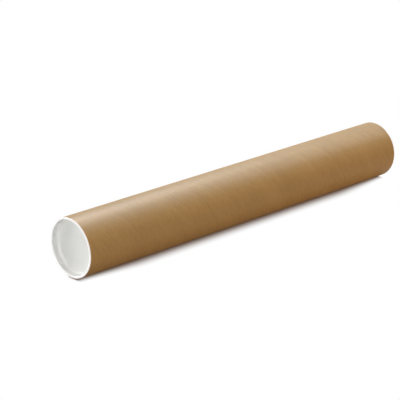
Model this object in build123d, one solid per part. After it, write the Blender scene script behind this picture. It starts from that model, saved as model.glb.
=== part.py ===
"""Cardboard mailing tube: a spiral-wound kraft tube with a push-in plug in each end.

Sizes are in millimetres. +Z runs up the tube's axis. The origin is on that axis, in the face that
the tube stands on, which is the outer face of the lower plug's flange.
"""

import os

from build123d import *

# Kraft tube
BORE_DIAMETER = 80.0
TUBE_WALL = 2.0
TUBE_LENGTH = 600.0
CUT_EDGE_ROUND = 0.2

# End plugs, two alike
FLANGE_THICKNESS = 1.0
FLANGE_SETBACK = 0.2  # how far the flange's edge lies inside the tube's outer wall
FLANGE_EDGE_ROUND = 0.35
RECESS_DEPTH = 10.5  # from the flange's face down to the edge of the recess floor
RECESS_LIP_ROUND = 0.6
RECESS_CORNER_ROUND = 3.5
PLUG_WALL = 0.8
FLOOR_THICKNESS = 1.0
FLOOR_DISH = 0.6  # how much deeper the recess floor lies at its centre than at its edge
MOULD_DRAFT = 0.25  # how much the plug's wall closes in from its mouth to its floor

# Fit of a plug in the bore
GRIP_CLEARANCE = 0.08  # radial, from the crests of the grip rings to the bore
WALL_CLEARANCE = 0.35  # radial, from the plug's wall at its mouth to the bore
GRIP_RING_ROUND = 0.5
GRIP_RING_COUNT = 2  # spread evenly over the straight part of the plug's wall

# Worked out from the sizes above
bore_radius = BORE_DIAMETER / 2
tube_radius = bore_radius + TUBE_WALL
flange_radius = tube_radius - FLANGE_SETBACK
plug_radius = bore_radius - WALL_CLEARANCE
recess_radius = plug_radius - PLUG_WALL
recess_floor = FLANGE_THICKNESS - RECESS_DEPTH
plug_end = recess_floor - FLOOR_THICKNESS
plug_corner_round = RECESS_CORNER_ROUND + PLUG_WALL
grip_ring_pitch = (-plug_end - plug_corner_round) / (GRIP_RING_COUNT + 1)
lower_seat = FLANGE_THICKNESS
upper_seat = FLANGE_THICKNESS + TUBE_LENGTH


def kraft_tube():
    """The wound and glued tube, one piece: a plain wall, cut square at both ends."""
    wall_middle = bore_radius + TUBE_WALL / 2
    with BuildPart() as tube:
        with BuildSketch(Plane.XZ):
            with Locations((wall_middle, (lower_seat + upper_seat) / 2)):
                RectangleRounded(TUBE_WALL, TUBE_LENGTH, CUT_EDGE_ROUND)
        revolve(axis=Axis.Z)
    return tube.part


def dished_line(edge, depth):
    """Arc from a point on the recess floor's edge to the plug's axis, where it lies depth lower."""
    edge_radius, edge_height = edge
    sphere_radius = (edge_radius**2 + depth**2) / (2 * depth)
    return RadiusArc(edge, (0, edge_height - depth), sphere_radius)


def round_corner(section, corner, radius):
    """Round the corner of a section that lies nearest to a point, given as (radius, height)."""
    fillet(section.vertices().sort_by_distance(corner)[0], radius)


def end_plug():
    """One plug with its flange's seat at height 0 and its recess opening upwards."""
    flange_seat_edge = (flange_radius, 0)
    flange_face_edge = (flange_radius, FLANGE_THICKNESS)
    recess_lip = (recess_radius, FLANGE_THICKNESS)
    recess_corner = (recess_radius - MOULD_DRAFT, recess_floor)
    plug_corner = (plug_radius - MOULD_DRAFT, plug_end)
    plug_mouth = (plug_radius, 0)
    ring_middle = bore_radius - GRIP_CLEARANCE - GRIP_RING_ROUND
    with BuildPart() as plug:
        with BuildSketch(Plane.XZ) as section:
            with BuildLine():
                floor_top = dished_line(recess_corner, FLOOR_DISH)
                floor_underside = dished_line(plug_corner, FLOOR_DISH)
                Line(floor_top @ 1, floor_underside @ 1)
                Polyline(plug_corner, plug_mouth, flange_seat_edge)
                Polyline(flange_seat_edge, flange_face_edge, recess_lip, recess_corner)
            make_face()
            round_corner(section, recess_corner, RECESS_CORNER_ROUND)
            round_corner(section, plug_corner, plug_corner_round)
            round_corner(section, recess_lip, RECESS_LIP_ROUND)
            round_corner(section, flange_face_edge, FLANGE_EDGE_ROUND)
            for ring in range(1, GRIP_RING_COUNT + 1):
                with Locations((ring_middle, -ring * grip_ring_pitch)):
                    Circle(GRIP_RING_ROUND)
        revolve(axis=Axis.Z)
    return plug.part


def main():
    plug = end_plug()
    nodes = {
        "kraft_tube": kraft_tube(),
        "top_cap": Location((0, 0, upper_seat)) * plug,
        "bottom_cap": Location((0, 0, lower_seat), (180, 0, 0)) * plug,
    }
    os.makedirs("parts", exist_ok=True)
    for name, solid in nodes.items():
        export_step(solid, f"parts/{name}.step")


if __name__ == "__main__":
    main()
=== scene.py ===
"""Looks of a cardboard mailing tube: its wound kraft wall, two moulded plugs and a plain studio.

The tube stands on its lower plug, with +Z up its axis. The studio shows it lying on its side, so
its floor is the upright plane that touches the tube's wall at +Y.
"""

import math

import bmesh
import bpy
from mathutils import Matrix, Vector, noise


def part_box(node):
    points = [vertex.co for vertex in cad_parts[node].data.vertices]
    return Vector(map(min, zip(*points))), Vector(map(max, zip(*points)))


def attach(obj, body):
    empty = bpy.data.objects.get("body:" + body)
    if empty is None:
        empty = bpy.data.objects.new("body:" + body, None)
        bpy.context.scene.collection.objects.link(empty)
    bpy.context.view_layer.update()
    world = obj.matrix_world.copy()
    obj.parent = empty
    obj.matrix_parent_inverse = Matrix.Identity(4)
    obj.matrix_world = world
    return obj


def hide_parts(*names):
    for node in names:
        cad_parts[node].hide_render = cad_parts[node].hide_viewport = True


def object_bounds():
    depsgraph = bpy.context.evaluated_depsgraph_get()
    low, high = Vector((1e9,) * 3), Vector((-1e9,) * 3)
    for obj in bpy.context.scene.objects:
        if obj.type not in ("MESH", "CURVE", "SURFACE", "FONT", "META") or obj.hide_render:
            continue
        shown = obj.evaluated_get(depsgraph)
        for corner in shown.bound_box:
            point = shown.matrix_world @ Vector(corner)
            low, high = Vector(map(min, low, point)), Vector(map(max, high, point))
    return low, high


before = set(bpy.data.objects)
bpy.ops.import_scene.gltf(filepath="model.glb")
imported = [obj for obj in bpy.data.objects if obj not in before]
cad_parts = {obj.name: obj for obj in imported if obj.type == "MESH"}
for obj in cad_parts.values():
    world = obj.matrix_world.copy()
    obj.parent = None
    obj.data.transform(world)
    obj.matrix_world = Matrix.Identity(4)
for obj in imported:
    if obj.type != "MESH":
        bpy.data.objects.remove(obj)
CAD_BOX = [list(corner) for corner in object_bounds()]

bl_info = {
    "name": "Cardboard Mailing Tube",
    "version": (1, 0, 0),
    "blender": (4, 5, 0),
    "location": "View3D > Sidebar > Mailing Tube",
    "description": "Winds a kraft mailing tube, moulds its plugs and sets them in a plain studio",
    "category": "Object",
}

MM = 0.001
TURN = 2 * math.pi
MATHS = "ShaderNodeMath"
VECTOR_MATHS = "ShaderNodeVectorMath"

# Sizes read from the frame, in metres
BORE_RADIUS = min(vertex.co.xy.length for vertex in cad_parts["kraft_tube"].data.vertices)
FLANGE_RADIUS = max(vertex.co.xy.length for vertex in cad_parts["top_cap"].data.vertices)
# The CAD mesh has flats, so the wall's radius is that of the largest circle that its box can hold
TUBE_RADIUS = min(abs(side) for corner in CAD_BOX for side in corner[:2])
TUBE_BOTTOM, TUBE_TOP = (corner[2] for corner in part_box("kraft_tube"))
LOWER_END, UPPER_END = (corner[2] for corner in CAD_BOX)

# How finely round shapes are divided
WALL_COLUMNS = 256
PLY_ROWS = 28
LINING_ROWS = 8
EDGE_ROWS = 4
PLUG_COLUMNS = 240

# Points nearer than this are one point
WELD = 0.002 * MM

# Which paper a face of the tube shows, also the order of the tube's materials
OUTER_PLY, CUT_EDGE, LINING = 0, 1, 2

# How far below the tube's bottom the plies' seams start, in turns
OUTER_SEAM_START, LINING_SEAM_START = -0.62, -0.2

# The shares of a paper's red, green and blue that its darkest and palest fibres have
DARKEST_FIBRES = (0.60, 0.57, 0.52)
PALEST_FIBRES = (1.40, 1.43, 1.48)


def linear(hex_colour):
    """An sRGB hex colour as the linear colour, with alpha 1, that shaders take."""
    parts = [int(hex_colour[i:i + 2], 16) / 255 for i in (0, 2, 4)]
    return [p / 12.92 if p <= 0.04045 else ((p + 0.055) / 1.055) ** 2.4 for p in parts] + [1.0]


def add_node(tree, kind, feeds=(), out=0, **settings):
    """Adds a node with its settings, feeds its inputs and returns an output, if it has one.

    feeds holds values or sockets: a tuple for the first inputs, or a dict by name or number."""
    node = tree.nodes.new(kind)
    for name, value in settings.items():
        setattr(node, name, value)
    for place, value in feeds.items() if isinstance(feeds, dict) else enumerate(feeds):
        if isinstance(value, bpy.types.NodeSocket):
            tree.links.new(value, node.inputs[place])
        else:
            node.inputs[place].default_value = value
    return node.outputs[out] if len(node.outputs) else node


class TubeSizes(bpy.types.PropertyGroup):
    """Sizes of the wound wall and of the plugs' moulded faces."""

    ply_pitch: bpy.props.FloatProperty(
        name="Ply Pitch", description="How far the outer ply's strip climbs in one turn",
        default=132 * MM, min=20 * MM, unit="LENGTH")
    seam_width: bpy.props.FloatProperty(
        name="Seam Width", description="Width of the groove where the outer ply's edges meet",
        default=0.8 * MM, unit="LENGTH")
    seam_depth: bpy.props.FloatProperty(
        name="Seam Depth", description="Depth of the groove where the outer ply's edges meet",
        default=0.08 * MM, unit="LENGTH")
    cut_edge_round: bpy.props.FloatProperty(
        name="Cut Edge Round", description="Rounding of the wall's cut edges",
        default=0.2 * MM, unit="LENGTH")
    flange_thickness: bpy.props.FloatProperty(
        name="Flange Thickness", description="Thickness of the plug's flange, outside the tube",
        default=1.0 * MM, unit="LENGTH")
    recess_depth: bpy.props.FloatProperty(
        name="Recess Depth", description="Depth of the plug's recess at its floor's edge",
        default=10.5 * MM, unit="LENGTH")
    plug_wall: bpy.props.FloatProperty(
        name="Plug Wall", description="Thickness of the plug's wall",
        default=0.8 * MM, unit="LENGTH")
    floor_thickness: bpy.props.FloatProperty(
        name="Floor Thickness", description="Thickness of the recess floor",
        default=1.0 * MM, unit="LENGTH")
    floor_dish: bpy.props.FloatProperty(
        name="Floor Dish", description="How much deeper the recess floor lies at its centre",
        default=1.2 * MM, unit="LENGTH")
    floor_waves: bpy.props.FloatProperty(
        name="Floor Waves", description="Height of the soft waves that cooling leaves in the floor",
        default=0.9 * MM, unit="LENGTH")


class TubeColours(bpy.types.PropertyGroup):
    """Colours of the papers, the plastic and the studio floor."""

    kraft: bpy.props.FloatVectorProperty(
        name="Kraft Paper", description="Mean colour of the outer ply",
        subtype="COLOR", size=4, default=linear("A8864F"))
    board: bpy.props.FloatVectorProperty(
        name="Cut Board", description="Colour of the plies where the wall is cut",
        subtype="COLOR", size=4, default=linear("C4A47C"))
    lining: bpy.props.FloatVectorProperty(
        name="Lining", description="Colour of the inner ply",
        subtype="COLOR", size=4, default=linear("A98A66"))
    plastic: bpy.props.FloatVectorProperty(
        name="Plug Plastic",
        description="Colour of the plugs' flanges and walls, which the board backs",
        subtype="COLOR", size=4, default=linear("FAF9F7"))
    # Painted shade: the recess floors and the foot of the recess walls take this greyer colour,
    # standing in for the recess's shade and for light that the thin floor loses to the dark bore
    shaded_recess_plastic: bpy.props.FloatVectorProperty(
        name="Thin Plastic",
        description="Colour of the plugs' thin floors, which let light through to the dark bore",
        subtype="COLOR", size=4, default=linear("DCDCD8"))
    # Painted shade: the floor beyond the tube's shade is plain white, and this darker, warmer grey
    # deepens its contact shadow
    studio_floor: bpy.props.FloatVectorProperty(
        name="Studio Floor", description="Colour of the studio's floor in the tube's shade",
        subtype="COLOR", size=4, default=linear("D2C4BC"))


def new_material(name):
    """A named material with an empty tree and a Principled shader as its surface."""
    material = bpy.data.materials.new(name)
    material.use_nodes = True
    tree = material.node_tree
    tree.nodes.clear()
    surface = add_node(tree, "ShaderNodeBsdfPrincipled")
    add_node(tree, "ShaderNodeOutputMaterial", {"Surface": surface})
    return material, tree, surface.node


def shaded(colour, shares):
    """A colour with its red, green and blue multiplied by their shares."""
    return (*(part * share for part, share in zip(colour, shares)), 1.0)


def grain(tree, place, patterns):
    """The sum of soft patterns about zero, each (length mm, width mm, detail, strength)."""
    total = None
    for length, width, detail, strength in patterns:
        scale = (1 / (length * MM), 1 / (width * MM), 1 / (width * MM))
        scaled = add_node(tree, VECTOR_MATHS, (place, scale), operation="MULTIPLY")
        cloud = add_node(tree, "ShaderNodeTexNoise", {
            "Vector": scaled, "Scale": 1.0, "Detail": detail})
        level = add_node(tree, MATHS, (cloud, 0.5), operation="SUBTRACT")
        feeds = (level, strength, 0.0 if total is None else total)
        total = add_node(tree, MATHS, feeds, operation="MULTIPLY_ADD")
    return total


def flecks(tree, place, length, width, size, strength):
    """Scattered specks, each in its own cell of length by width in mm, up to a share of it wide."""
    scale = (1 / (length * MM), 1 / (width * MM), 0)
    scaled = add_node(tree, VECTOR_MATHS, (place, scale), operation="MULTIPLY")
    cells = add_node(tree, "ShaderNodeTexVoronoi", {"Vector": scaled, "Scale": 1.0},
                     voronoi_dimensions="2D").node
    chance = add_node(tree, "ShaderNodeSeparateColor", (cells.outputs["Color"],))
    reach = add_node(tree, MATHS, (chance, size), operation="MULTIPLY")
    return add_node(tree, "ShaderNodeMapRange", {
        "Value": cells.outputs["Distance"], "From Min": 0.0, "From Max": reach,
        "To Min": strength, "To Max": 0.0})


def paper_surface(tree, shader, colour, tone, height):
    """Joins a tone about zero to a paper's colour, and a height in mm to its relief."""
    share = add_node(tree, MATHS, (tone, 0.5), operation="ADD", use_clamp=True)
    mixed = add_node(tree, "ShaderNodeMix", data_type="RGBA", out=2, feeds={
        0: share, 6: shaded(colour, DARKEST_FIBRES), 7: shaded(colour, PALEST_FIBRES)})
    tree.links.new(mixed, shader.inputs["Base Color"])
    relief = add_node(tree, "ShaderNodeBump", {"Height": height, "Distance": MM})
    tree.links.new(relief, shader.inputs["Normal"])


def kraft_material(sizes, colours):
    """Unbleached kraft liner, wound and glued with its calendered face outwards.

    Long fibres and rollers run along the strip, so its streaks wind round the tube. The pressed
    face has a soft, broad gloss, and the strip's edges meet in a fine dark line. A single fibre is
    too fine to show, so the finest pattern is drawn as bundles of them."""
    material, tree, shader = new_material("wound kraft paper")
    ply = add_node(tree, "ShaderNodeUVMap", uv_map="Ply")
    # Bundles of fibres, their clumps, clouds in the pulp, roller streaks and slow bands
    tone = grain(tree, ply, (
        (2.6, 0.5, 3.0, 0.34),
        (11.0, 4.0, 3.0, 0.34),
        (60.0, 14.0, 2.0, 0.24),
        (150.0, 3.5, 1.0, 0.12),
        (420.0, 60.0, 1.0, 0.20)))
    dark_fleck = flecks(tree, ply, 9.0, 4.0, 0.10, 0.18)
    pale_fleck = flecks(tree, ply, 6.0, 1.6, 0.16, 0.10)
    tone = add_node(tree, MATHS, (tone, dark_fleck), operation="SUBTRACT")
    tone = add_node(tree, MATHS, (tone, pale_fleck), operation="ADD")

    around = TURN * TUBE_RADIUS
    strip_width = around * sizes.ply_pitch / math.hypot(around, sizes.ply_pitch)
    across = add_node(tree, "ShaderNodeSeparateXYZ", (ply,)).node.outputs["Y"]
    from_middle = add_node(tree, MATHS, (across, strip_width / 2), operation="SUBTRACT")
    from_middle = add_node(tree, MATHS, (from_middle,), operation="ABSOLUTE")
    # The seam's line starts and is full at these distances from the strip's edge
    line_starts, line_full, line_tone = 0.45 * MM, 0.1 * MM, 0.12
    seam = add_node(tree, "ShaderNodeMapRange", {
        "Value": from_middle, "From Min": strip_width / 2 - line_starts,
        "From Max": strip_width / 2 - line_full, "To Max": line_tone})
    tone = add_node(tree, MATHS, (tone, seam), operation="SUBTRACT")
    height = grain(tree, ply, ((2.6, 0.5, 3.0, 0.07), (7.0, 4.0, 2.0, 0.10)))
    paper_surface(tree, shader, colours.kraft, tone, height)
    shader.inputs["Roughness"].default_value = 0.5
    shader.inputs["Specular IOR Level"].default_value = 0.25
    return material


def board_material(colours):
    """Grey-brown core board, sawn square: its plies show as fine rings, on a rough, dusty face."""
    material, tree, shader = new_material("cut tube board")
    place = add_node(tree, "ShaderNodeTexCoord", out="Object")
    level_place = add_node(tree, VECTOR_MATHS, (place, (1, 1, 0)), operation="MULTIPLY")
    radius = add_node(tree, VECTOR_MATHS, (level_place,), out="Value", operation="LENGTH")
    ply_thickness = 0.4 * MM
    ply_tone, relief_of_tone = 0.12, 0.08
    plies = add_node(tree, MATHS, (radius, TURN / ply_thickness), operation="MULTIPLY")
    plies = add_node(tree, MATHS, (plies,), operation="SINE")
    fluff = grain(tree, place, ((0.5, 0.5, 2.0, 0.5), (6.0, 6.0, 2.0, 0.2)))
    tone = add_node(tree, MATHS, (plies, ply_tone, fluff), operation="MULTIPLY_ADD")
    height = add_node(tree, MATHS, (tone, relief_of_tone), operation="MULTIPLY")
    paper_surface(tree, shader, colours.board, tone, height)
    shader.inputs["Roughness"].default_value = 0.95
    return material


def lining_material(colours):
    """Recycled grey-brown liner, glued inside: flat, matt and full of flecks of other papers."""
    material, tree, shader = new_material("tube lining paper")
    ply = add_node(tree, "ShaderNodeUVMap", uv_map="Ply")
    tone = grain(tree, ply, ((2.0, 0.6, 3.0, 0.3), (12.0, 8.0, 3.0, 0.2), (300.0, 30.0, 1.0, 0.1)))
    dark_fleck = flecks(tree, ply, 5.0, 3.0, 0.14, 0.35)
    tone = add_node(tree, MATHS, (tone, dark_fleck), operation="SUBTRACT")
    height = grain(tree, ply, ((2.0, 0.6, 3.0, 0.07),))
    paper_surface(tree, shader, colours.lining, tone, height)
    shader.inputs["Roughness"].default_value = 0.85
    return material


def plastic_material(colours):
    """Low-density polyethylene, injection moulded: waxy, satin and a little milky.

    Flow leaves soft clouds in it, and the mould's face a fine spark grain. Its recess floors and
    the foot of its recess walls are painted greyer: painted shade of the deep recess, and of light
    that the thin floor loses to the dark bore."""
    material, tree, shader = new_material("moulded white polyethylene")
    place = add_node(tree, "ShaderNodeTexCoord", out="Object")
    height = add_node(tree, "ShaderNodeSeparateXYZ", (place,)).node.outputs["Z"]
    middle, half_length = (TUBE_TOP + TUBE_BOTTOM) / 2, (TUBE_TOP - TUBE_BOTTOM) / 2
    past_middle = add_node(tree, MATHS, (height, middle), operation="SUBTRACT")
    past_middle = add_node(tree, MATHS, (past_middle,), operation="ABSOLUTE")
    # Depths below the tube's end at which the painted shade is full, and gone: painted shade of the
    # deep recess, and of light that the thin floor loses to the dark bore
    full_shade_depth, no_shade_depth = 9.1 * MM, 7.0 * MM
    out_of_recess_shade = add_node(tree, "ShaderNodeMapRange", {
        "Value": past_middle,
        "From Min": half_length - full_shade_depth, "From Max": half_length - no_shade_depth})
    body = add_node(tree, "ShaderNodeMix", data_type="RGBA", out=2, feeds={
        0: out_of_recess_shade, 6: colours.shaded_recess_plastic, 7: colours.plastic})
    clouds = grain(tree, place, ((22.0, 14.0, 2.0, 0.10), (3.0, 3.0, 2.0, 0.04)))
    share = add_node(tree, MATHS, (clouds, 1.0), operation="ADD")
    mixed = add_node(tree, VECTOR_MATHS, {0: body, "Scale": share}, operation="SCALE")
    tree.links.new(mixed, shader.inputs["Base Color"])
    mean_roughness = 0.40
    satin = grain(tree, place, ((5.0, 5.0, 2.0, 0.20),))
    satin = add_node(tree, MATHS, (satin, mean_roughness), operation="ADD")
    tree.links.new(satin, shader.inputs["Roughness"])
    spark_grain = grain(tree, place, ((0.35, 0.35, 2.0, 0.012), (14.0, 14.0, 1.0, 0.10)))
    relief = add_node(tree, "ShaderNodeBump", {"Height": spark_grain, "Distance": MM})
    tree.links.new(relief, shader.inputs["Normal"])
    shader.inputs["IOR"].default_value = 1.51
    shader.inputs["Subsurface Weight"].default_value = 0.25
    shader.inputs["Subsurface Radius"].default_value = (1.0, 1.0, 1.0)
    shader.inputs["Subsurface Scale"].default_value = 1.2 * MM
    return material


def new_group(name, inputs, result=("Geometry", "NodeSocketGeometry")):
    """An empty geometry tree with named inputs and one output, and its inputs' sockets by name."""
    tree = bpy.data.node_groups.new(name, "GeometryNodeTree")
    tree.interface.new_socket(result[0], in_out="OUTPUT", socket_type=result[1])
    for label, kind in inputs.items():
        tree.interface.new_socket(label, in_out="INPUT", socket_type="NodeSocket" + kind)
    return tree, tree.nodes.new("NodeGroupInput").outputs


def seam_group():
    """Depth of the groove along a ply's seam, at a share of a turn and a height."""
    tree, given = new_group("Ply Seam", {
        "Turn": "Float", "Height": "Float", "Start": "Float", "Pitch": "Float",
        "Width": "Float", "Depth": "Float"}, ("Groove", "NodeSocketFloat"))
    above = add_node(tree, MATHS, (given["Height"], given["Start"]), operation="SUBTRACT")
    climbed = add_node(tree, MATHS, (above, given["Pitch"]), operation="DIVIDE")
    from_seam = add_node(tree, MATHS, (climbed, given["Turn"]), operation="SUBTRACT")
    nearest = add_node(tree, MATHS, (from_seam,), operation="ROUND")
    share = add_node(tree, MATHS, (from_seam, nearest), operation="SUBTRACT")
    share = add_node(tree, MATHS, (share,), operation="ABSOLUTE")
    away = add_node(tree, MATHS, (share, given["Pitch"]), operation="MULTIPLY")
    half_width = add_node(tree, MATHS, (given["Width"], 0.5), operation="MULTIPLY")
    groove = add_node(tree, "ShaderNodeMapRange", {
        "Value": away, "From Max": half_width, "To Min": given["Depth"], "To Max": 0.0})
    add_node(tree, "NodeGroupOutput", (groove,))
    return tree


def ply_group():
    """One ply's face: strips side by side along the helix, cut off square at both ends.

    A strip is a grid, one unit long and wide. Its copies stand one unit apart, so a point's place
    holds its share of a turn, its share of the strip's width and the turn that it is in."""
    tree, given = new_group("Ply Face", {
        "Radius": "Float", "Bottom": "Float", "Top": "Float", "Start": "Float", "Pitch": "Float",
        "Columns": "Int", "Rows": "Int", "Zone": "Int"})
    columns = add_node(tree, MATHS, (given["Columns"], 1), operation="ADD")
    rows = add_node(tree, MATHS, (given["Rows"], 1), operation="ADD")
    strip = add_node(tree, "GeometryNodeMeshGrid", (1.0, 1.0, columns, rows))
    length = add_node(tree, MATHS, (given["Top"], given["Start"]), operation="SUBTRACT")
    turns = add_node(tree, MATHS, (length, given["Pitch"]), operation="DIVIDE")
    turns = add_node(tree, MATHS, (turns,), operation="CEIL")
    turns = add_node(tree, MATHS, (turns, 1), operation="ADD")
    starts = add_node(tree, "GeometryNodeMeshLine", {
        "Count": turns, "Start Location": (0, 0, -1), "Offset": (0, 0, 1)}, mode="OFFSET")
    strips = add_node(tree, "GeometryNodeInstanceOnPoints", {"Points": starts, "Instance": strip})
    strips = add_node(tree, "GeometryNodeRealizeInstances", (strips,))

    place = add_node(tree, "GeometryNodeInputPosition")
    parts = add_node(tree, "ShaderNodeSeparateXYZ", (place,)).node.outputs
    turn = add_node(tree, MATHS, (parts["X"], 0.5), operation="ADD")
    wound = add_node(tree, MATHS, (turn, parts["Z"]), operation="ADD")
    # Rows stand close together at the strip's edges, where the seam's groove is
    width_angle = add_node(tree, MATHS, (parts["Y"], math.pi), operation="MULTIPLY")
    width_share = add_node(tree, MATHS, (width_angle,), operation="SINE")
    width_share = add_node(tree, MATHS, (width_share, 0.5, 0.5), operation="MULTIPLY_ADD")
    climbed = add_node(tree, MATHS, (wound, width_share), operation="ADD")
    height = add_node(tree, MATHS, (climbed, given["Pitch"], given["Start"]),
                      operation="MULTIPLY_ADD")
    kept_height = add_node(tree, "ShaderNodeClamp", (height, given["Bottom"], given["Top"]))

    around = add_node(tree, MATHS, (given["Radius"], TURN), operation="MULTIPLY")
    along_way = add_node(tree, "ShaderNodeCombineXYZ", (around, given["Pitch"], 0))
    along_way = add_node(tree, VECTOR_MATHS, (along_way,), operation="NORMALIZE")
    back = add_node(tree, MATHS, (given["Pitch"], -1), operation="MULTIPLY")
    across_way = add_node(tree, "ShaderNodeCombineXYZ", (back, around, 0))
    across_way = add_node(tree, VECTOR_MATHS, (across_way,), operation="NORMALIZE")
    unrolled = add_node(tree, MATHS, (wound, around), operation="MULTIPLY")
    above = add_node(tree, MATHS, (kept_height, given["Start"]), operation="SUBTRACT")
    unrolled = add_node(tree, "ShaderNodeCombineXYZ", (unrolled, above, 0))
    along = add_node(tree, VECTOR_MATHS, (unrolled, along_way), out=1, operation="DOT_PRODUCT")
    across = add_node(tree, VECTOR_MATHS, (unrolled, across_way), out=1, operation="DOT_PRODUCT")
    on_strip = add_node(tree, "ShaderNodeCombineXYZ", (along, across, 0))
    strips = add_node(tree, "GeometryNodeStoreNamedAttribute", {
        "Geometry": strips, "Name": "Ply", "Value": on_strip}, data_type="FLOAT2", domain="CORNER")
    strips = add_node(tree, "GeometryNodeStoreNamedAttribute", {
        "Geometry": strips, "Name": "Zone", "Value": given["Zone"]}, data_type="INT", domain="FACE")

    past_end = add_node(tree, MATHS, (height, kept_height), operation="SUBTRACT")
    past_end = add_node(tree, MATHS, (past_end,), operation="ABSOLUTE")
    rounding_error = 1e-7
    cut_off = add_node(tree, "FunctionNodeCompare", (past_end, rounding_error),
                       operation="GREATER_EQUAL")
    cut_off = add_node(tree, "GeometryNodeFieldOnDomain", (cut_off,),
                       data_type="BOOLEAN", domain="POINT")
    strips = add_node(tree, "GeometryNodeDeleteGeometry", (strips, cut_off), domain="FACE")
    angle = add_node(tree, MATHS, (turn, TURN), operation="MULTIPLY")
    flat_place = add_node(tree, "ShaderNodeCombineXYZ", (given["Radius"], 0, kept_height))
    round_place = add_node(tree, "ShaderNodeVectorRotate", {
        "Vector": flat_place, "Angle": angle}, rotation_type="Z_AXIS")
    strips = add_node(tree, "GeometryNodeSetPosition", {
        "Geometry": strips, "Position": round_place})
    add_node(tree, "NodeGroupOutput", (strips,))
    return tree


def cut_end_group():
    """The wall's cut upper end: a rounded outer edge, the flat cut and a rounded inner edge."""
    tree, given = new_group("Cut End", {
        "Radius": "Float", "Bore": "Float", "Top": "Float", "Round": "Float", "Columns": "Int"})
    columns = add_node(tree, MATHS, (given["Columns"], 1), operation="ADD")
    ring = add_node(tree, "GeometryNodeMeshGrid", (1.0, 3.0, columns, 3 * EDGE_ROWS + 1))
    place = add_node(tree, "GeometryNodeInputPosition")
    parts = add_node(tree, "ShaderNodeSeparateXYZ", (place,)).node.outputs
    turn = add_node(tree, MATHS, (parts["X"], 0.5), operation="ADD")
    angle = add_node(tree, MATHS, (turn, TURN), operation="MULTIPLY")
    # A third of the rows goes round each edge, and a third over the cut
    outer = add_node(tree, "ShaderNodeMapRange", {
        "Value": parts["Y"], "From Min": -1.5, "From Max": -0.5, "To Max": TURN / 4})
    inner = add_node(tree, "ShaderNodeMapRange", {
        "Value": parts["Y"], "From Min": 0.5, "From Max": 1.5, "To Max": TURN / 4})
    wall = add_node(tree, MATHS, (given["Radius"], given["Bore"]), operation="SUBTRACT")
    both_rounds = add_node(tree, MATHS, (given["Round"], 2), operation="MULTIPLY")
    cut = add_node(tree, MATHS, (wall, both_rounds), operation="SUBTRACT")
    over_cut = add_node(tree, "ShaderNodeMapRange", {
        "Value": parts["Y"], "From Min": -0.5, "From Max": 0.5, "To Max": cut})
    outer_cosine = add_node(tree, MATHS, (outer,), operation="COSINE")
    outer_in = add_node(tree, MATHS, (1, outer_cosine), operation="SUBTRACT")
    inner_in = add_node(tree, MATHS, (inner,), operation="SINE")
    rounds_in = add_node(tree, MATHS, (outer_in, inner_in), operation="ADD")
    inward = add_node(tree, MATHS, (rounds_in, given["Round"], over_cut), operation="MULTIPLY_ADD")
    radius = add_node(tree, MATHS, (given["Radius"], inward), operation="SUBTRACT")
    outer_sine = add_node(tree, MATHS, (outer,), operation="SINE")
    inner_cosine = add_node(tree, MATHS, (inner,), operation="COSINE")
    rise = add_node(tree, MATHS, (outer_sine, inner_cosine), operation="ADD")
    below = add_node(tree, MATHS, (2, rise), operation="SUBTRACT")
    below = add_node(tree, MATHS, (below, given["Round"]), operation="MULTIPLY")
    height = add_node(tree, MATHS, (given["Top"], below), operation="SUBTRACT")
    flat_place = add_node(tree, "ShaderNodeCombineXYZ", (radius, 0, height))
    round_place = add_node(tree, "ShaderNodeVectorRotate", {
        "Vector": flat_place, "Angle": angle}, rotation_type="Z_AXIS")
    ring = add_node(tree, "GeometryNodeStoreNamedAttribute", {
        "Geometry": ring, "Name": "Zone", "Value": CUT_EDGE}, data_type="INT", domain="FACE")
    ring = add_node(tree, "GeometryNodeSetPosition", {"Geometry": ring, "Position": round_place})
    add_node(tree, "NodeGroupOutput", (ring,))
    return tree


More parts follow.
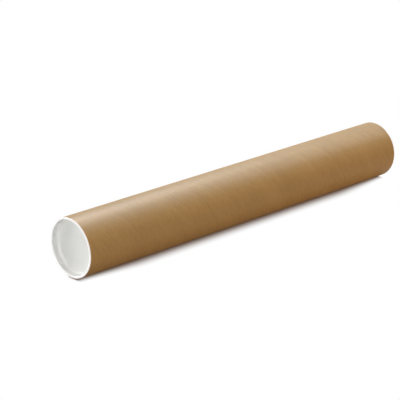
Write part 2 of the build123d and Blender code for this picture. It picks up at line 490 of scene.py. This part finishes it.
def wound_tube_group():
    """The whole wall: outer ply, lining and two cut ends, welded into one closed skin."""
    sizes = ("Radius", "Bore", "Bottom", "Top", "Pitch", "Lining Pitch",
             "Seam Width", "Seam Depth", "Round")
    inputs = {name: "Float" for name in sizes}
    inputs |= {name: "Int" for name in ("Columns", "Ply Rows", "Lining Rows")}
    inputs |= {name: "Material" for name in ("Kraft", "Board", "Lining")}
    tree, given = new_group("Wound Tube", inputs)
    ply_end = add_node(tree, MATHS, (given["Top"], given["Round"]), operation="SUBTRACT")
    ply_start = add_node(tree, MATHS, (given["Bottom"], given["Round"]), operation="ADD")
    ply, seam = ply_group(), seam_group()
    outer_start = add_node(tree, MATHS, operation="MULTIPLY_ADD", feeds=(
        given["Pitch"], OUTER_SEAM_START, given["Bottom"]))
    lining_start = add_node(tree, MATHS, operation="MULTIPLY_ADD", feeds=(
        given["Lining Pitch"], LINING_SEAM_START, given["Bottom"]))
    outer = add_node(tree, "GeometryNodeGroup", node_tree=ply, feeds={
        "Radius": given["Radius"], "Bottom": ply_start, "Top": ply_end,
        "Start": outer_start, "Pitch": given["Pitch"],
        "Columns": given["Columns"], "Rows": given["Ply Rows"], "Zone": OUTER_PLY})
    lining = add_node(tree, "GeometryNodeGroup", node_tree=ply, feeds={
        "Radius": given["Bore"], "Bottom": ply_start, "Top": ply_end,
        "Start": lining_start, "Pitch": given["Lining Pitch"],
        "Columns": given["Columns"], "Rows": given["Lining Rows"], "Zone": LINING})
    lining = add_node(tree, "GeometryNodeFlipFaces", (lining,))
    upper_end = add_node(tree, "GeometryNodeGroup", node_tree=cut_end_group(), feeds={
        name: given[name] for name in ("Radius", "Bore", "Top", "Round", "Columns")})
    both_ends = add_node(tree, MATHS, (given["Bottom"], given["Top"]), operation="ADD")
    shift = add_node(tree, "ShaderNodeCombineXYZ", (0, 0, both_ends))
    lower_end = add_node(tree, "GeometryNodeTransform", {
        "Geometry": upper_end, "Translation": shift, "Scale": (1, 1, -1)})
    lower_end = add_node(tree, "GeometryNodeFlipFaces", (lower_end,))
    joined = add_node(tree, "GeometryNodeJoinGeometry").node
    for face in (outer, lining, upper_end, lower_end):
        tree.links.new(face, joined.inputs[0])
    wall = add_node(tree, "GeometryNodeMergeByDistance", {
        "Geometry": joined.outputs[0], "Distance": WELD})

    place = add_node(tree, "GeometryNodeInputPosition")
    parts = add_node(tree, "ShaderNodeSeparateXYZ", (place,)).node.outputs
    angle = add_node(tree, MATHS, (parts["Y"], parts["X"]), operation="ARCTAN2")
    turn = add_node(tree, MATHS, (angle, TURN), operation="DIVIDE")
    level_place = add_node(tree, VECTOR_MATHS, (place, (1, 1, 0)), operation="MULTIPLY")
    radius = add_node(tree, VECTOR_MATHS, (level_place,), out=1, operation="LENGTH")
    outward = add_node(tree, VECTOR_MATHS, (level_place,), operation="NORMALIZE")
    seam_size = {
        "Turn": turn, "Height": parts["Z"],
        "Width": given["Seam Width"], "Depth": given["Seam Depth"]}
    outer_groove = add_node(tree, "GeometryNodeGroup", node_tree=seam, feeds={
        **seam_size, "Start": outer_start, "Pitch": given["Pitch"]})
    lining_groove = add_node(tree, "GeometryNodeGroup", node_tree=seam, feeds={
        **seam_size, "Start": lining_start, "Pitch": given["Lining Pitch"]})
    outer_edge = add_node(tree, MATHS, (given["Radius"], given["Round"]), operation="SUBTRACT")
    lining_edge = add_node(tree, MATHS, (given["Bore"], given["Round"]), operation="ADD")
    outer_in = add_node(tree, "ShaderNodeMapRange", {
        "Value": radius, "From Min": outer_edge, "From Max": given["Radius"],
        "To Max": outer_groove})
    lining_out = add_node(tree, "ShaderNodeMapRange", {
        "Value": radius, "From Min": given["Bore"], "From Max": lining_edge,
        "To Min": lining_groove, "To Max": 0.0})
    groove = add_node(tree, MATHS, (lining_out, outer_in), operation="SUBTRACT")
    offset = add_node(tree, VECTOR_MATHS, {0: outward, "Scale": groove}, operation="SCALE")
    wall = add_node(tree, "GeometryNodeSetPosition", {"Geometry": wall, "Offset": offset})
    wall = add_node(tree, "GeometryNodeSetShadeSmooth", {"Geometry": wall, "Shade Smooth": True})

    wall = add_node(tree, "GeometryNodeRealizeInstances", (wall,))
    zone = add_node(tree, "GeometryNodeInputNamedAttribute", ("Zone",), data_type="INT")
    for number, paper in ((OUTER_PLY, "Kraft"), (CUT_EDGE, "Board"), (LINING, "Lining")):
        chosen = add_node(tree, "FunctionNodeCompare", {2: zone, 3: number},
                          data_type="INT", operation="EQUAL")
        wall = add_node(tree, "GeometryNodeSetMaterial", (wall, chosen, given[paper]))
    add_node(tree, "NodeGroupOutput", (wall,))
    return tree


def show(name, mesh):
    """A new object of the scene that shows a mesh."""
    piece = bpy.data.objects.new(name, mesh)
    bpy.context.scene.collection.objects.link(piece)
    return piece


def keep_borders_sharp(mesh):
    """Keeps the shading from running over an edge between two materials."""
    shape = bmesh.new()
    shape.from_mesh(mesh)
    for edge in shape.edges:
        edge.smooth = len({face.material_index for face in edge.link_faces}) == 1
    shape.to_mesh(mesh)
    shape.free()


class OBJECT_OT_wind_tube(bpy.types.Operator):
    """Winds the kraft tube: outer ply, lining and cut ends, as one mesh"""

    bl_idname = "object.wind_tube"
    bl_label = "Wind Tube"

    def execute(self, context):
        sizes, colours = context.scene.tube_sizes, context.scene.tube_colours
        former = show("winding_former", bpy.data.meshes.new("winding_former"))
        winding = former.modifiers.new("Winding", "NODES")
        winding.node_group = wound_tube_group()
        values = {
            "Radius": TUBE_RADIUS, "Bore": BORE_RADIUS, "Bottom": TUBE_BOTTOM, "Top": TUBE_TOP,
            "Pitch": sizes.ply_pitch, "Lining Pitch": sizes.ply_pitch * BORE_RADIUS / TUBE_RADIUS,
            "Seam Width": sizes.seam_width, "Seam Depth": sizes.seam_depth,
            "Round": sizes.cut_edge_round,
            "Columns": WALL_COLUMNS, "Ply Rows": PLY_ROWS, "Lining Rows": LINING_ROWS,
            "Kraft": kraft_material(sizes, colours), "Board": board_material(colours),
            "Lining": lining_material(colours)}
        for socket in winding.node_group.interface.items_tree:
            if socket.in_out == "INPUT":
                winding[socket.identifier] = values[socket.name]
        wound = former.evaluated_get(context.evaluated_depsgraph_get())
        mesh = bpy.data.meshes.new_from_object(wound)
        former.modifiers.remove(winding)
        bpy.data.objects.remove(former)
        mesh.name = "wound_tube"
        keep_borders_sharp(mesh)
        tube = show("wound_tube", mesh)
        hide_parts("kraft_tube")
        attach(tube, "tube")
        return {"FINISHED"}


def rounded_line(corners):
    """Points along a line of (radius, height, rounding, steps), with arcs at its round corners."""
    points = []
    for number, (r, z, rounding, steps) in enumerate(corners):
        corner = Vector((r, z))
        if not rounding:
            points.append(corner)
            continue
        before = (Vector(corners[number - 1][:2]) - corner).normalized()
        after = (Vector(corners[number + 1][:2]) - corner).normalized()
        half = before.angle(after) / 2
        middle = corner + (before + after).normalized() * rounding / math.sin(half)
        start = corner + before * rounding / math.tan(half)
        end = corner + after * rounding / math.tan(half)
        for step in range(steps + 1):
            ray = start.lerp(end, step / steps) - middle
            points.append(middle + ray.normalized() * rounding)
    return points


def plug_profile(sizes):
    """The plug's section, from the axis under its floor round the flange to the axis in its recess.

    Heights are measured from the face of the flange that rests on the tube's end. Each point has
    its radius, its height, the rounding of its corner and the steps that draw it."""
    wall_clearance, ring_clearance = 0.35 * MM, 0.08 * MM
    mould_draft = 0.25 * MM
    corner, ring_round = 4.5 * MM, 0.5 * MM
    heel_round, rim_round, mouth_round = 0.08 * MM, 0.35 * MM, 0.6 * MM
    under_margin, floor_margin = 6 * MM, 5.5 * MM
    under_steps, floor_steps, ring_steps = 16, 40, 5
    mouth = BORE_RADIUS - wall_clearance
    recess = mouth - sizes.plug_wall
    floor = sizes.flange_thickness - sizes.recess_depth
    underside = floor - sizes.floor_thickness
    line = []
    for step in range(under_steps + 1):
        r = (mouth - under_margin) * step / under_steps
        line.append((r, underside - sizes.floor_dish * (1 - (r / mouth) ** 2), 0, 0))
    line.append((mouth - mould_draft, underside, corner + sizes.plug_wall, 10))
    # Two half-round grip rings stand out of the straight part of the wall
    ring_middle = BORE_RADIUS - ring_clearance - ring_round
    ring_pitch = (-underside - corner - sizes.plug_wall) / 3
    for ring in (-2, -1):
        height = ring * ring_pitch
        wall_here = mouth + mould_draft * height / -underside
        half_angle = math.acos((wall_here - ring_middle) / ring_round)
        for step in range(-ring_steps, ring_steps + 1):
            angle = half_angle * step / ring_steps
            out, up = ring_round * math.cos(angle), ring_round * math.sin(angle)
            line.append((ring_middle + out, height + up, 0, 0))
    line.append((mouth, 0, 0, 0))
    line.append((FLANGE_RADIUS, 0, heel_round, 2))
    line.append((FLANGE_RADIUS, sizes.flange_thickness, rim_round, 6))
    line.append((recess, sizes.flange_thickness, mouth_round, 8))
    line.append((recess - mould_draft, floor, corner, 12))
    for step in range(floor_steps, -1, -1):
        r = (recess - floor_margin) * step / floor_steps
        line.append((r, floor - sizes.floor_dish * (1 - (r / recess) ** 2), 0, 0))
    return rounded_line(line), floor, recess


def turned_mesh(name, profile, columns):
    """A mesh turned about the Z axis from a profile that starts and ends on that axis."""
    shape = bmesh.new()
    rings = []
    for r, z in profile:
        if r < WELD:
            rings.append([shape.verts.new((0, 0, z))])
            continue
        rings.append([
            shape.verts.new((r * math.cos(TURN * i / columns), r * math.sin(TURN * i / columns), z))
            for i in range(columns)])
    for near, far in zip(rings, rings[1:]):
        for i in range(columns):
            after = (i + 1) % columns
            corners = (near[i % len(near)], near[after % len(near)],
                       far[after % len(far)], far[i % len(far)])
            shape.faces.new(list(dict.fromkeys(corners)))
    for face in shape.faces:
        face.smooth = True
    mesh = bpy.data.meshes.new(name)
    shape.to_mesh(mesh)
    shape.free()
    return mesh


class OBJECT_OT_mould_plugs(bpy.types.Operator):
    """Moulds the two plugs that close the tube's ends"""

    bl_idname = "object.mould_plugs"
    bl_label = "Mould Plugs"

    def execute(self, context):
        sizes, colours = context.scene.tube_sizes, context.scene.tube_colours
        plastic = plastic_material(colours)
        profile, floor, recess = plug_profile(sizes)
        mesh = turned_mesh("upper_plug", profile, PLUG_COLUMNS)
        mesh.materials.append(plastic)
        # The waves are one slice through a noise, and die away towards the recess's wall
        wave_length, wave_slice, faces_up = 24 * MM, 50 * MM, 0.9
        floor_points = [
            vertex for vertex in mesh.vertices
            if vertex.co.z < floor and vertex.normal.z > faces_up]
        for vertex in floor_points:
            share = 1 - (vertex.co.xy.length / recess) ** 4
            swell = noise.noise(Vector((*vertex.co.xy, wave_slice)) / wave_length)
            vertex.co.z += sizes.floor_waves * swell * share
        lower_mesh = mesh.copy()
        lower_mesh.name = "lower_plug"
        mesh.transform(Matrix.Translation((0, 0, TUBE_TOP)))
        lower_mesh.transform(
            Matrix.Translation((0, 0, TUBE_BOTTOM)) @ Matrix.Rotation(math.pi, 4, "X"))
        plugs = (("upper_plug", mesh, "top_cap"), ("lower_plug", lower_mesh, "bottom_cap"))
        for name, plug_mesh, node in plugs:
            plug = show(name, plug_mesh)
            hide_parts(node)
            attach(plug, name)
        return {"FINISHED"}


def lying(along, back, height):
    """A place in the studio, in metres along from the upper plug, back, and over the floor."""
    return Vector((back, TUBE_RADIUS - height, UPPER_END - along))


STUDIO_UP = Vector((0, -1, 0))

# The studio floor's edges, in metres along from the upper plug, and back from the tube's axis
FLOOR_LEFT, FLOOR_RIGHT, FLOOR_FRONT, FLOOR_BACK = -6, 8, -6, 12

# How far from the line where the tube rests its shadow is full, and gone at its middle and its ends
SHADOW_FROM, SHADOW_TO, SHADOW_TO_AT_ENDS = 8 * MM, 43 * MM, 25 * MM
# How far from an end the shadow starts to narrow
SHADOW_NARROWS = 0.1
# How many times quicker than in front it fades at the back, and past the tube's ends
BACK_FADE, END_FADE = 3.0, 8.0
# How much nearer its middle a mirrored point of the floor counts: painted shade, which makes the
# floor's shadow reach further in the wall's gloss
MIRRORED_NEARER = 0.65

SOFT_WHITE, WARM_WHITE = "FFF4E8", "FFCFA6"

# Lamps: place, point it faces, width, height, power and colour. The two low ones stand for the
# light that the white floor throws back at the tube
LAMPS = {
    "overhead": ((0.30, 0.44, 1.68), (0.3, 0.0, 0.04), 1.8, 0.45, 5.5, "FFFFFF"),
    "right_overhead": ((1.30, 0.30, 1.72), (0.3, 0.0, 0.04), 0.7, 0.6, 16.5, "FFFFFF"),
    "front_high": ((0.70, -1.30, 1.00), (0.4, 0.0, 0.04), 1.8, 0.6, 6.5, SOFT_WHITE),
    "front_low": ((1.20, -1.55, -0.40), (0.5, 0.0, 0.04), 1.4, 0.8, 12.5, WARM_WHITE),
    "back_left": ((-0.60, 1.70, 0.40), (0.0, 0.0, 0.04), 1.0, 1.0, 24.0, "FFFFFF"),
    "left": ((-1.77, -0.44, 0.30), (0.0, 0.0, 0.04), 1.0, 0.5, 22.5, "FFFFFF"),
    "back_low": ((0.30, 1.53, -0.77), (0.3, 0.0, 0.04), 1.8, 0.4, 11.0, SOFT_WHITE),
}

# This lamp is for the side that the camera doesn't see, and makes no gloss
GLOSSLESS_LAMP = "back_low"

# Reflectors, given as the lamps are, that show only as gloss on the wall
REFLECTORS = {
    "near_reflector": ((0.95, 0.95, 1.45), (0.3, 0.0, 0.04), 0.7, 0.6, 38.0, "FFFFFF"),
    "mid_reflector": ((1.60, 0.70, 1.60), (0.3, 0.0, 0.04), 0.7, 0.6, 10.9, "FFFFFF"),
    "top_reflector": ((2.00, -0.30, 1.72), (0.3, 0.0, 0.04), 0.7, 0.6, 21.0, "FFFFFF"),
}

# How bright the white surroundings are as light on a matt face, and as they are seen or mirrored
SOFT_SKY, PLAIN_SKY = 0.06, 1.0

# The camera's place and the way it faces, and its distance from the image and the image's width,
# both in the image's pixels
CAMERA_PLACE = Vector((-1.6082, -0.8236, 1.8696))
CAMERA_AHEAD = Vector((0.6854, 0.3474, -0.6399))
CAMERA_DISTANCE, IMAGE_WIDTH = 1670, 400


def look_along(place, ahead):
    """The matrix of a camera or lamp at a place, facing ahead, with the studio's up at its top."""
    ahead = ahead.normalized()
    right = ahead.cross(STUDIO_UP).normalized()
    turned = Matrix((right, right.cross(ahead), -ahead)).transposed()
    return Matrix.Translation(place) @ turned.to_4x4()


def floor_material(colours):
    """White paper sweep: lit, it shows a thin contact shadow, and beyond that it is painted plain
    white.

    It is clear from behind, where other views look through it, and to the light on the tube."""
    material = bpy.data.materials.new("white studio floor")
    material.use_nodes = True
    tree = material.node_tree
    tree.nodes.clear()
    place = add_node(tree, "ShaderNodeTexCoord", out="Object")
    parts = add_node(tree, "ShaderNodeSeparateXYZ", (place,)).node.outputs
    middle, half_length = (UPPER_END + LOWER_END) / 2, (UPPER_END - LOWER_END) / 2
    past_middle = add_node(tree, MATHS, (parts["Z"], middle), operation="SUBTRACT")
    past_middle = add_node(tree, MATHS, (past_middle,), operation="ABSOLUTE")
    past_end = add_node(tree, MATHS, (past_middle, half_length), operation="SUBTRACT")
    past_end = add_node(tree, MATHS, (past_end, 0.0), operation="MAXIMUM")
    past_end = add_node(tree, MATHS, (past_end, END_FADE), operation="MULTIPLY")
    in_front = add_node(tree, MATHS, (parts["X"], -1.0), operation="MULTIPLY")
    at_back = add_node(tree, MATHS, (parts["X"], BACK_FADE), operation="MULTIPLY")
    sideways = add_node(tree, MATHS, (in_front, at_back), operation="MAXIMUM")
    way_off = add_node(tree, "ShaderNodeCombineXYZ", (sideways, past_end, 0))
    away = add_node(tree, VECTOR_MATHS, (way_off,), out=1, operation="LENGTH")
    path = add_node(tree, "ShaderNodeLightPath").node.outputs
    # Painted shade in the wall's gloss: mirrored rays see the floor's shadow reach further than it
    # does, so the wall's lower side mirrors a darker floor
    mirrored = add_node(tree, MATHS, (path["Is Glossy Ray"], -MIRRORED_NEARER, 1.0),
                        operation="MULTIPLY_ADD")
    away = add_node(tree, MATHS, (away, mirrored), operation="MULTIPLY")
    # Light comes in round the tube's ends, so its shadow is painted narrower there
    gone = add_node(tree, "ShaderNodeMapRange", {
        "Value": past_middle, "From Min": half_length - SHADOW_NARROWS, "From Max": half_length,
        "To Min": SHADOW_TO, "To Max": SHADOW_TO_AT_ENDS})
    shade_painted_out = add_node(tree, "ShaderNodeMapRange", interpolation_type="SMOOTHERSTEP", feeds={
        "Value": away, "From Min": SHADOW_FROM, "From Max": gone})
    # Painted shade: the lit floor takes the darker, warmer grey, which deepens the tube's contact
    # shadow
    lit = add_node(tree, "ShaderNodeBsdfDiffuse", {"Color": colours.studio_floor})
    white = add_node(tree, "ShaderNodeEmission", {"Strength": 1.0})
    seen = add_node(tree, "ShaderNodeMixShader", (shade_painted_out, lit, white))
    behind = add_node(tree, "ShaderNodeNewGeometry", out="Backfacing")
    hidden = add_node(tree, MATHS, (path["Is Shadow Ray"], path["Is Diffuse Ray"]),
                      operation="MAXIMUM")
    hidden = add_node(tree, MATHS, (hidden, behind), operation="MAXIMUM")
    clear = add_node(tree, "ShaderNodeBsdfTransparent")
    surface = add_node(tree, "ShaderNodeMixShader", (hidden, seen, clear))
    add_node(tree, "ShaderNodeOutputMaterial", {"Surface": surface})
    return material


class OBJECT_OT_set_studio(bpy.types.Operator):
    """Sets the floor, the lamps, the white surroundings and the camera"""

    bl_idname = "object.set_studio"
    bl_label = "Set Studio"

    def execute(self, context):
        scene = context.scene
        corners = [lying(along, back, 0) for along, back in (
            (FLOOR_LEFT, FLOOR_FRONT), (FLOOR_RIGHT, FLOOR_FRONT),
            (FLOOR_RIGHT, FLOOR_BACK), (FLOOR_LEFT, FLOOR_BACK))]
        mesh = bpy.data.meshes.new("studio_floor")
        mesh.from_pydata(corners, [], [(0, 1, 2, 3)])
        floor = show("studio_floor", mesh)
        mesh.materials.append(floor_material(scene.tube_colours))

        for name, (place, aim, width, height, power, colour) in (LAMPS | REFLECTORS).items():
            lamp = bpy.data.lights.new(name, "AREA")
            lamp.shape = "RECTANGLE"
            lamp.size, lamp.size_y, lamp.energy = width, height, power
            lamp.color = linear(colour)[:3]
            stand = bpy.data.objects.new(name, lamp)
            stand.visible_diffuse = name in LAMPS
            stand.visible_glossy = name != GLOSSLESS_LAMP
            place = lying(*place)
            stand.matrix_world = look_along(place, lying(*aim) - place)
            scene.collection.objects.link(stand)

        world = bpy.data.worlds.new("white surroundings")
        scene.world = world
        world.use_nodes = True
        tree = world.node_tree
        tree.nodes.clear()
        path = add_node(tree, "ShaderNodeLightPath").node.outputs
        direct = add_node(tree, MATHS, (path["Is Camera Ray"], path["Is Glossy Ray"]),
                          operation="MAXIMUM")
        direct = add_node(tree, MATHS, (direct, path["Is Transmission Ray"]), operation="MAXIMUM")
        strength = add_node(tree, "ShaderNodeMix", {
            "Factor": direct, "A": SOFT_SKY, "B": PLAIN_SKY})
        sky = add_node(tree, "ShaderNodeBackground", {"Strength": strength, "Color": (1, 1, 1, 1)})
        add_node(tree, "ShaderNodeOutputWorld", {"Surface": sky})

        camera = bpy.data.cameras.new("camera")
        camera.sensor_width = 36
        camera.lens = CAMERA_DISTANCE / IMAGE_WIDTH * camera.sensor_width
        stand = bpy.data.objects.new("camera", camera)
        stand.matrix_world = look_along(CAMERA_PLACE, CAMERA_AHEAD)
        scene.collection.objects.link(stand)
        scene.camera = stand
        scene.view_settings.view_transform = "Standard"
        return {"FINISHED"}


class VIEW3D_PT_mailing_tube(bpy.types.Panel):
    """Lists the sizes, the colours and the steps that make the tube"""

    bl_label = "Mailing Tube"
    bl_space_type = "VIEW_3D"
    bl_region_type = "UI"
    bl_category = "Mailing Tube"

    def draw(self, context):
        for settings in (context.scene.tube_sizes, context.scene.tube_colours):
            for name in settings.bl_rna.properties.keys():
                if name not in ("rna_type", "name"):
                    self.layout.prop(settings, name)
        for step in STEPS:
            self.layout.operator(step.bl_idname)


STEPS = (OBJECT_OT_wind_tube, OBJECT_OT_mould_plugs, OBJECT_OT_set_studio)
CLASSES = (TubeSizes, TubeColours, *STEPS, VIEW3D_PT_mailing_tube)


def register():
    for cls in CLASSES:
        bpy.utils.register_class(cls)
    bpy.types.Scene.tube_sizes = bpy.props.PointerProperty(type=TubeSizes)
    bpy.types.Scene.tube_colours = bpy.props.PointerProperty(type=TubeColours)


def unregister():
    del bpy.types.Scene.tube_colours
    del bpy.types.Scene.tube_sizes
    for cls in reversed(CLASSES):
        bpy.utils.unregister_class(cls)


def main():
    register()
    bpy.ops.object.wind_tube()
    bpy.ops.object.mould_plugs()
    bpy.ops.object.set_studio()


if __name__ == "__main__":
    main()
